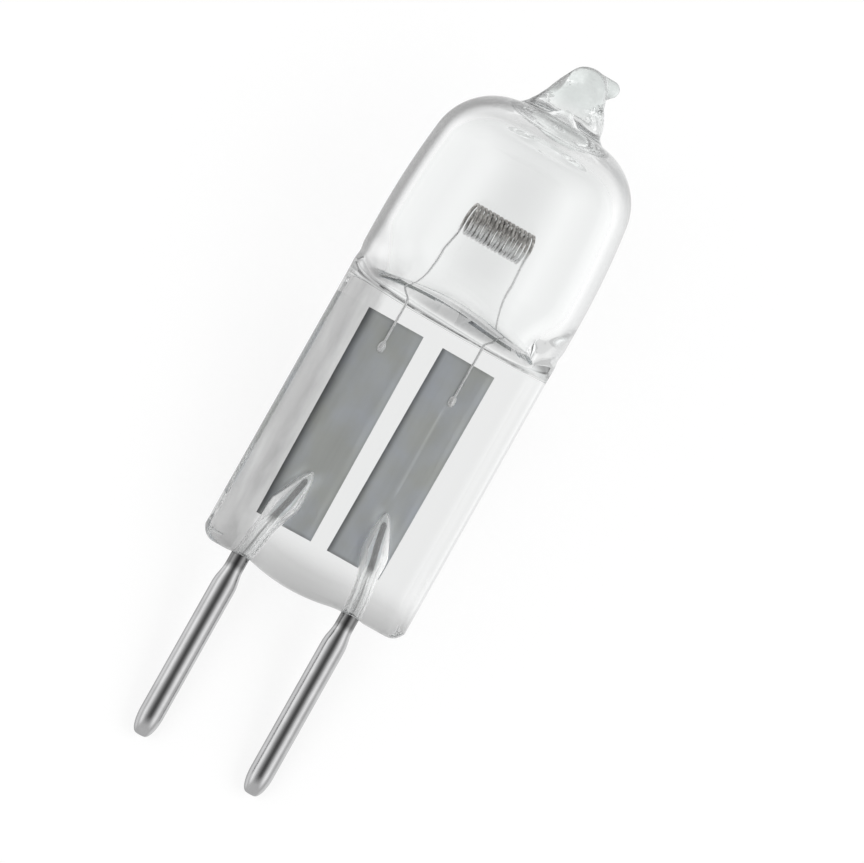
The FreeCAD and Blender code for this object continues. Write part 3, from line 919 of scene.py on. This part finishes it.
@dataclass
class QuartzEnvelope:
    """The quartz body: pressed seal, bulb and exhaust tip in one, hollow in the bulb and round the leads."""

    half_width: float = 5.7
    half_depth: float = 1.6
    edge_x: float = 2.1
    far_edge_x: float = 1.15
    edge_y: float = 1.25
    climb_end: float = 5.5
    bend_end: float = 40.0
    corner: float = 0.7
    foot_round: float = 1.4
    lobe: float = 0.27
    lobe_x: float = -0.35
    lobe_half: float = 2.3
    bulb_radius: float = 5.72
    wall: float = 0.75
    bowl_wall: float = 0.45
    swell_foot: float = 24.9
    shoulder_z: float = 28.40
    crown: float = 36.67
    crown_end: float = 82.0
    barrel_arc: float = 41.2
    dome_corner: float = 3.35
    tip_top: float = 39.92
    tip_ball: float = 1.23
    tip_base: float = 2.15
    tip_bow: float = 0.22
    tip_lean: float = 16.0
    tip_lumps: float = 0.07
    bead_r: float = 0.46
    bead_out: float = 1.1
    bead_below: float = 0.5
    bead_blend: float = 0.15
    cavity_floor: float = 26.25
    cavity_crown: float = 35.62
    cavity_corner: float = 2.4
    cavity_end: float = 84.0
    floor_half: tuple[float, float] = (3.9, 0.8)
    floor_sag: float = 0.55
    sag_height: float = 2.4
    bowl_half: float = 4.6
    bore_mouth: float = 0.65
    bore_end: float = 0.22
    bore_below: float = 2.7
    notch: float = 0.07
    notch_z: float = 26.35
    notch_height: float = 0.3
    channel: float = 0.52
    channel_mouth: float = 0.84
    pocket_half: tuple[float, float] = (0.74, 1.0)
    pocket_z: tuple[float, float, float] = (12.0, 13.6, 15.6)
    pocket_bluntness: float = 0.55
    around: int = 240

    def seal_section(self, turn: np.ndarray) -> tuple[np.ndarray, np.ndarray]:
        """The seal's section, a rectangle whose corners are quarter ellipses.

        Of a quarter turn the first part climbs the narrow edge, the next goes round the corner's ellipse and
        the rest crosses the face at an even step. The other quarters mirror it, but the ellipses towards +X
        are narrower.

        Args:
            turn: angles in radians.

        Returns:
            X and Y at each of them.
        """
        share = np.degrees(np.arctan2(np.abs(np.sin(turn)), np.abs(np.cos(turn))))
        climb = np.clip(share / self.climb_end, 0, 1)
        bend = np.radians(90) * np.clip((share - self.climb_end) / (self.bend_end - self.climb_end), 0, 1)
        cross = np.clip((share - self.bend_end) / (90 - self.bend_end), 0, 1)
        edge_x = np.where(np.cos(turn) > 0, self.far_edge_x, self.edge_x)
        x = (self.half_width - edge_x) * (1 - cross) + edge_x * np.cos(bend)
        y = (self.half_depth - self.edge_y) * climb + self.edge_y * np.sin(bend)
        return np.sign(np.cos(turn)) * x, np.sign(np.sin(turn)) * y

    def foot_rise(self, x: np.ndarray, y: np.ndarray) -> np.ndarray:
        """How far the foot's surface is above the seal's foot.

        It is the corner's arc, plus a shallow arc front to back, less a parabola's lobe between the leads.

        Args:
            x: places across the seal.
            y: places from its front to its back.

        Returns:
            The rise at each of them.
        """
        over = np.clip((np.abs(x) - self.half_width + self.corner) / self.corner, 0, 1)
        corner = self.corner * (1 - np.sqrt(np.clip(1 - over ** 2, 0, 1)))
        side = self.foot_round * (1 - np.sqrt(np.clip(1 - (0.998 * y / self.half_depth) ** 2, 0, 1)))
        return corner + side - self.lobe * np.clip(1 - ((x - self.lobe_x) / self.lobe_half) ** 2, 0, 1)

    def swelling(self) -> np.ndarray:
        """How the pressed section swells into the bulb's circle: rows of the circle's share and height."""
        foot = self.swell_foot
        return curve([(0.0, foot), (0.0, foot + 0.7), (0.5, foot + 0.8), (1.0, foot + 1.6),
                      (1.0, self.shoulder_z)], 64)

    def barrel_profile(self, inset: float, corner: float, top: float, last: float) -> np.ndarray:
        """Side view of the barrel and the dome's corner: a long arc leans in and turns into a tangent one.

        Args:
            inset: how far the barrel is inside the outside.
            corner: radius of the dome's corner.
            top: height of the crown.
            last: angle in degrees at which the corner's arc ends.

        Returns:
            The side view's points (r, z), from the foot up.
        """
        centre, arc_r = self.bulb_radius - self.barrel_arc, self.barrel_arc - inset
        rise = top - corner - self.shoulder_z
        corner_x = centre + math.sqrt((arc_r - corner) ** 2 - rise ** 2)
        lean = math.degrees(math.atan2(rise, corner_x - centre))
        return chain(arc((centre, self.shoulder_z), arc_r, 0, lean, 26),
                     arc((corner_x, top - corner), corner, lean, last, 40))

    def tip_profile(self, crown_edge: np.ndarray) -> np.ndarray:
        """Side view of the exhaust tip: a root that flows out of the crown, a cone and a melted-off ball."""
        lean, ball_z = math.radians(self.tip_lean), self.tip_top - self.tip_ball
        shoulder = np.array([self.tip_ball * math.cos(lean), ball_z + self.tip_ball * math.sin(lean)])
        base = np.array([self.tip_base, self.crown])
        waist = base + (shoulder - base) * 0.15
        return chain(curve([tuple(crown_edge), (self.tip_base + 0.12, self.crown + 0.02), tuple(waist)], 16),
                     np.linspace(waist, shoulder, 12),
                     arc((0, ball_z), self.tip_ball, self.tip_lean, 89, 60))

    def bead_reach(self, t: np.ndarray, z: np.ndarray) -> np.ndarray:
        """How far the bead beside the tip reaches: a round bar from the axis that ends in a ball.

        Args:
            t: angles round the tip, in radians.
            z: heights, as a column.

        Returns:
            The distance from the axis at each height and angle, 0 where the bead isn't.
        """
        half = np.sqrt(np.clip(self.bead_r ** 2 - (z - self.tip_top + self.bead_below) ** 2, 0, None))
        s, c = np.abs(np.sin(t)), np.cos(t)
        ball = self.bead_out * c + np.sqrt(np.clip(half ** 2 - (self.bead_out * s) ** 2, 0, None))
        reach = np.where((c > 0) & (half > self.bead_out * s), ball, half / np.maximum(s, 1e-6))
        return np.where(c > 0, np.minimum(reach, self.bead_out + self.bead_r), 0) * (half > 0)

    def outer(self) -> Shell:
        """The outside, as a function of height and turn.

        Below, the foot is closed by the seal's section scaled down to its middle, at the height that the
        foot's rounding has there. Between seal and bulb each point moves straight from the seal's section to
        the circle's point at the same turn by the swelling's share, with a shallow notch at both sides.
        Above, the rows follow the side view of barrel, dome and tip, and the tip bows a little towards its
        bead. Three sines of height and turn make the tip lumpy.
        """
        t = full_turn(self.around)
        c, s = np.cos(t), np.sin(t)
        flat_x, flat_y = self.seal_section(t)
        q = np.sin(np.linspace(0.02, 1, 28) * np.pi / 2)[:, None]
        foot = np.stack([q * flat_x, q * flat_y, SEAL_FOOT + self.foot_rise(q * flat_x, q * flat_y)], axis=-1)
        swell = self.swelling()
        up = np.linspace(0, 1, 14)[1:, None]
        edge_z = foot[-1, :, 2]
        shank = np.stack([flat_x + 0 * up, flat_y + 0 * up, edge_z + (swell[0, 1] - edge_z) * up], axis=-1)
        share, z = swell[1:, 0, None], swell[1:, 1, None]
        notch = self.notch * bell(z, self.notch_z, self.notch_height) * c * np.abs(c) ** 3
        waist = np.stack([flat_x + (self.bulb_radius * c - flat_x) * share - notch,
                          flat_y + (self.bulb_radius * s - flat_y) * share, z + 0 * c], axis=-1)
        barrel = self.barrel_profile(0.0, self.dome_corner, self.crown, self.crown_end)
        side = chain(barrel[1:], self.tip_profile(barrel[-1]))
        r, height = side[:, 0, None], side[:, 1, None]
        lumps = 1 + self.tip_lumps * eased((height - self.crown) / 0.8) * (
            0.6 * np.sin(2 * t + 1.1 * height) + 0.4 * np.sin(3 * t - 2.3 * height + 1.0)
            + 0.3 * np.sin(7 * t + 3.1 * height))
        reach = rounded_max(r * lumps, self.bead_reach(t, height), self.bead_blend)
        bow = self.tip_bow * eased((height - self.crown) / 3)
        above = np.stack([reach * c + bow, reach * s, height + 0 * reach], axis=-1)
        return stacked(np.concatenate([foot, shank, waist, above]))

    def gas_space(self) -> Shell:
        """The space inside the bulb, up to the closed end of the exhaust tube's bore.

        Its rows are ellipses, long and narrow at the floor, that widen into the barrel's circles. In depth
        they are an offset of the outside along its normals, thinner at the floor; the floor sags to both
        sides as a bell curve does.
        """
        floor, crown, (floor_x, floor_y) = self.cavity_floor, self.cavity_crown, self.floor_half
        share, height = self.swelling().T
        outside = np.stack([self.half_depth + (self.bulb_radius - self.half_depth) * share, height], axis=-1)
        along = unit(np.gradient(outside, axis=0))
        thick = self.bowl_wall + (self.wall - self.bowl_wall) * eased((height[:, None] - floor) / 2)
        side = outside + thick * np.stack([-along[:, 1], along[:, 0]], axis=-1)
        side = side[side[:, 1] > floor + 0.3]
        rise = (side[:, 1] - side[0, 1]) / (self.shoulder_z - side[0, 1])
        width = self.bowl_half + (self.bulb_radius - self.wall - self.bowl_half) * eased(rise)
        edge = curve([(floor_x, floor_y, floor), (floor_x + 0.5, 0.8 * side[0, 0], floor),
                      (self.bowl_half, *side[0])], 20)
        spread = np.linspace(0.02, 1, 14, endpoint=False)[:, None]
        flat = spread * np.array([floor_x, floor_y, 0]) + np.array([0, 0, floor])
        barrel = self.barrel_profile(self.wall, self.cavity_corner, crown, self.cavity_end)
        mouth, end, end_z = self.bore_mouth, self.bore_end, self.tip_top - self.bore_below - self.bore_end
        bore = chain(curve([tuple(barrel[-1]), (mouth + 0.4, crown + 0.02), (mouth, crown + 0.5)], 16),
                     np.array([(end, end_z)]), arc((0, end_z), end, 0, 88, 14))
        rows = np.vstack([flat, edge[:-1], np.column_stack([width, side]),
                          chain(barrel[1:], bore)[:, [0, 0, 1]]])
        t = full_turn(136)
        x, y, z = rows[:, 0, None] * np.cos(t), rows[:, 1, None] * np.sin(t), rows[:, 2, None]
        near_floor = eased((floor + self.sag_height - z) / self.sag_height)
        return stacked(np.stack([x, y, z - self.floor_sag * (1 - bell(x, -1.0, 3.0)) * near_floor], axis=-1))

    def lead_space(self, side: Side) -> Shell:
        """The air round a lead: a flared mouth, a round channel, and a flat pocket beside the foil.

        Rings at each height are ellipses round the lead's axis, whose half width and half depth ease from the
        channel's to the pocket's, and close to a blunt point at its top.

        Args:
            side: whose lead it is.

        Returns:
            The closed surface, which begins below the seal's foot.
        """
        bore, mouth, (leave, widest, top) = self.channel, self.channel_mouth, self.pocket_z
        z = np.concatenate([np.array([8.6, 9.2]), np.linspace(9.7, SEAL_FOOT, 5),
                            np.linspace(SEAL_FOOT, PIN_LENGTH, 16)[1:],
                            np.linspace(PIN_LENGTH, leave, 12)[1:], np.linspace(leave, widest, 28)[1:],
                            widest + (top - widest) * np.linspace(0, 0.99, 18)[1:]])[:, None]
        flare = np.clip((z - SEAL_FOOT) / (PIN_LENGTH - SEAL_FOOT), 0, 1)
        throat = mouth - (mouth - bore) * np.sqrt(np.clip(1 - (1 - flare) ** 2, 0, 1))
        ease = eased((z - leave) / (widest - leave))
        closing = (1 - np.clip((z - widest) / (top - widest), 0, 1)) ** self.pocket_bluntness
        across, deep = [(throat + (half - bore) * ease) * closing for half in self.pocket_half]
        t = full_turn(48)
        x = OuterLead(side).x_at(z) + across * np.cos(t)
        return stacked(np.stack([x, deep * np.sin(t), z + 0 * x], axis=-1))

    def build(self) -> bpy.types.Object:
        """Cuts the gas space and the leads' channels out of the outside.

        The hollows' faces bring their own finish into the body: the second for the gas space, and the third
        for the leads' channels.
        """
        gas = self.gas_space()
        space = gas.joined(self.lead_space(Side.LEFT)).joined(self.lead_space(Side.RIGHT))
        finishes = (QUARTZ, QUARTZ_INSIDE, QUARTZ_FROSTED)
        piece = new_mesh_object("quartz_body", self.outer(), *finishes)
        hollows = new_mesh_object("hollows", space, *finishes)
        lining = np.where(np.arange(len(space.faces)) < len(gas.faces), 1, 2).astype(np.int32)
        hollows.data.polygons.foreach_set("material_index", lining)
        cut_away(piece, hollows)
        return declared(piece, "quartz_envelope")


# Studio


@dataclass
class Studio:
    """White table, a sky of light boxes that run along the lamp, and the camera above it."""

    picture: tuple[int, int] = (864, 863)
    per_mm: float = 20.1
    lens: float = 200.0
    sensor: float = 36.0
    lean: float = math.radians(29.4)
    turn: float = math.radians(12.0)
    pins_at: tuple[float, float] = (194.9, 764.4)
    backdrop: float = 0.985
    table_reach: float = 1.5
    table_white: float = 0.80
    table_grey: float = 0.20
    # Levels by the angle round the lamp in degrees: what is reflected, and what glass shows from below
    boxes: tuple[tuple[float, float], ...] = (
        (-180, 0.75), (-150, 0.85), (-120, 1.00), (-100, 0.95), (-84, 0.68), (-70, 0.72), (-58, 1.15),
        (-46, 1.40), (-30, 1.00), (-15, 0.45), (0, 0.13), (16, 0.09), (30, 0.22), (45, 0.50), (60, 1.00),
        (76, 1.45), (88, 1.10), (98, 0.75), (116, 1.10), (138, 0.95), (150, 0.60))
    below: tuple[tuple[float, float], ...] = (
        (-180, 0.90), (-168, 0.87), (-158, 0.90), (-148, 1.03), (-125, 1.06), (-100, 1.05), (-90, 1.0),
        (90, 1.0), (125, 1.0), (150, 1.0), (165, 0.88), (180, 0.90))
    # Levels and shares by a direction's X, from -1 at the pins' end to 1 at the tip's
    lengthwise: tuple[tuple[float, float], ...] = (
        (-1.0, 0.8), (-0.5, 0.85), (0.0, 0.97), (0.18, 1.0), (0.32, 1.0), (0.5, 0.96), (0.75, 0.82),
        (1.0, 0.75))
    ends: tuple[tuple[float, float], ...] = (
        (-1.0, 1.0), (-0.6, 1.0), (-0.35, 0.0), (0.4, 0.0), (0.65, 1.0), (1.0, 1.0))
    end_level: float = 0.7

    def camera(self) -> None:
        """Places the camera so that the lamp stands in the picture as it is photographed."""
        c, s = math.cos(self.lean), math.sin(self.lean)
        toward = np.array([-math.sin(self.turn), -math.cos(self.turn), 0.0])
        axis = np.array([0.0, 0.0, 1.0])
        across = np.cross(axis, toward)
        right, up = s * axis + c * across, c * axis - s * across
        off_x = (self.picture[0] / 2 - self.pins_at[0]) / self.per_mm
        off_y = (self.pins_at[1] - self.picture[1] / 2) / self.per_mm
        target = np.array([MOUNT_SHIFT, 0, 0]) + off_x * right + off_y * up
        distance = self.lens / self.sensor * self.picture[0] / self.per_mm
        turn = np.stack([REST.vectors(v) for v in (right, up, toward)], axis=1)
        data = bpy.data.cameras.new("camera")
        data.lens, data.sensor_width = self.lens, self.sensor
        data.clip_start, data.clip_end = 0.01, 10.0
        camera = linked("camera", data)
        place = Matrix.Translation(Vector(REST.points(target + distance * toward)))
        camera.matrix_world = place @ Matrix(turn.tolist()).to_4x4()
        bpy.context.scene.camera = camera

    @staticmethod
    def levels(desk: NodeDesk, share: Feed, stops: tuple[tuple[float, float], ...], width: float) -> Socket:
        """Adds a curve of levels: straight lines between stops, halved to fit a ramp and doubled again.

        Args:
            desk: where the nodes go.
            share: the output that is looked up, from 0 to 1.
            stops: places about 0 and the level at each, up to 2.
            width: how far the places reach in all.

        Returns:
            The output that gives the level.
        """
        grey = [(place / width + 0.5, (level / 2, level / 2, level / 2)) for place, level in stops]
        return desk.math("MULTIPLY", desk.ramp(share, grey), 2.0)

    def world(self) -> None:
        """The sky: white to the camera, and otherwise light boxes by the angle round the lamp's direction.

        The angle is the arc tangent of a direction's Y over its Z. One ramp over it gives what a surface
        reflects, evened out towards the lamp's ends by a second over the direction's X. A third gives what
        glass shows from below, which a fourth dims by the direction's X.
        """
        world = bpy.data.worlds.new("sky")
        bpy.context.scene.world = world
        desk = cleared(world)
        split = desk.add("SeparateXYZ", desk.add("TexCoord").outputs["Generated"]).outputs
        angle = desk.math("ARCTAN2", split["Y"], split["Z"])
        round_lamp = desk.math("ADD", desk.math("MULTIPLY", angle, 1 / (2 * math.pi)), 0.5)
        along = desk.math("ADD", desk.math("MULTIPLY", split["X"], 0.5), 0.5)
        boxes = self.levels(desk, round_lamp, self.boxes, 360)
        reflected = desk.mix(self.levels(desk, along, self.ends, 2), boxes, self.end_level, "VALUE")
        below = desk.math("MULTIPLY", self.levels(desk, round_lamp, self.below, 360),
                          self.levels(desk, along, self.lengthwise, 2))
        path = desk.add("LightPath").outputs
        downwards = desk.math("LESS_THAN", split["Z"], 0.0)
        through = desk.math("MULTIPLY", downwards, path["Is Transmission Ray"])
        sky = desk.add("Background", (1, 1, 1), desk.mix(through, reflected, below, "VALUE"))
        white = desk.add("Background", (self.backdrop,) * 3)
        desk.add("OutputWorld", desk.add("MixShader", path["Is Camera Ray"], sky, white))

    def table(self) -> bpy.types.Object:
        """A white table that shows the lamp's shadow, and that glass and metal see as the white below it."""
        mesh = bpy.data.meshes.new("table")
        r = self.table_reach
        mesh.from_pydata([(-r, -r, 0), (r, -r, 0), (r, r, 0), (-r, r, 0)], [], [(0, 1, 2, 3)])
        table = linked("table", mesh)
        material = bpy.data.materials.new("white_table")
        desk = cleared(material)
        paint = desk.add("BsdfDiffuse", (self.table_grey,) * 3)
        glow = desk.add("Emission", (1, 1, 1), self.table_white)
        path = desk.add("LightPath").outputs
        open_to = desk.math("MAXIMUM", path["Is Transmission Ray"], path["Is Glossy Ray"])
        both = desk.add("AddShader", paint, glow)
        desk.add("OutputMaterial", desk.add("MixShader", open_to, both, desk.add("BsdfTransparent")))
        mesh.materials.append(material)
        return table

    def lamps(self) -> None:
        """Two large soft lights, one on each side above the lamp."""
        for name, place, power, size in (("soft_box_left", (-0.1, 0.35, 0.45), 1.2, 0.35),
                                         ("soft_box_right", (0.1, -0.40, 0.40), 0.8, 0.35)):
            light = bpy.data.lights.new(name, "AREA")
            light.energy, light.size = power, size
            lamp = linked(name, light)
            lamp.location = place
            lamp.rotation_euler = (-Vector(place)).to_track_quat("-Z", "Y").to_euler()
            lamp.visible_glossy = False
            lamp.visible_transmission = False

    def build(self) -> None:
        """Sets up the table, the light, the camera and how light is traced."""
        self.camera()
        self.world()
        self.table()
        self.lamps()
        scene = bpy.context.scene
        scene.view_settings.view_transform = "Standard"
        scene.cycles.max_bounces = 24
        scene.cycles.transmission_bounces = 24
        scene.cycles.glossy_bounces = 12
        scene.cycles.transparent_max_bounces = 24


def main() -> None:
    """Builds the lamp piece by piece, then the studio."""
    logging.basicConfig(level=logging.INFO, format="%(name)s %(message)s")
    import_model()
    QuartzEnvelope().build()
    Filament().build()
    for side in Side:
        SealFoil(side).build()
        OuterLead(side).build()
        ContactPin(side).build()
    Studio().build()


if __name__ == "__main__":
    main()
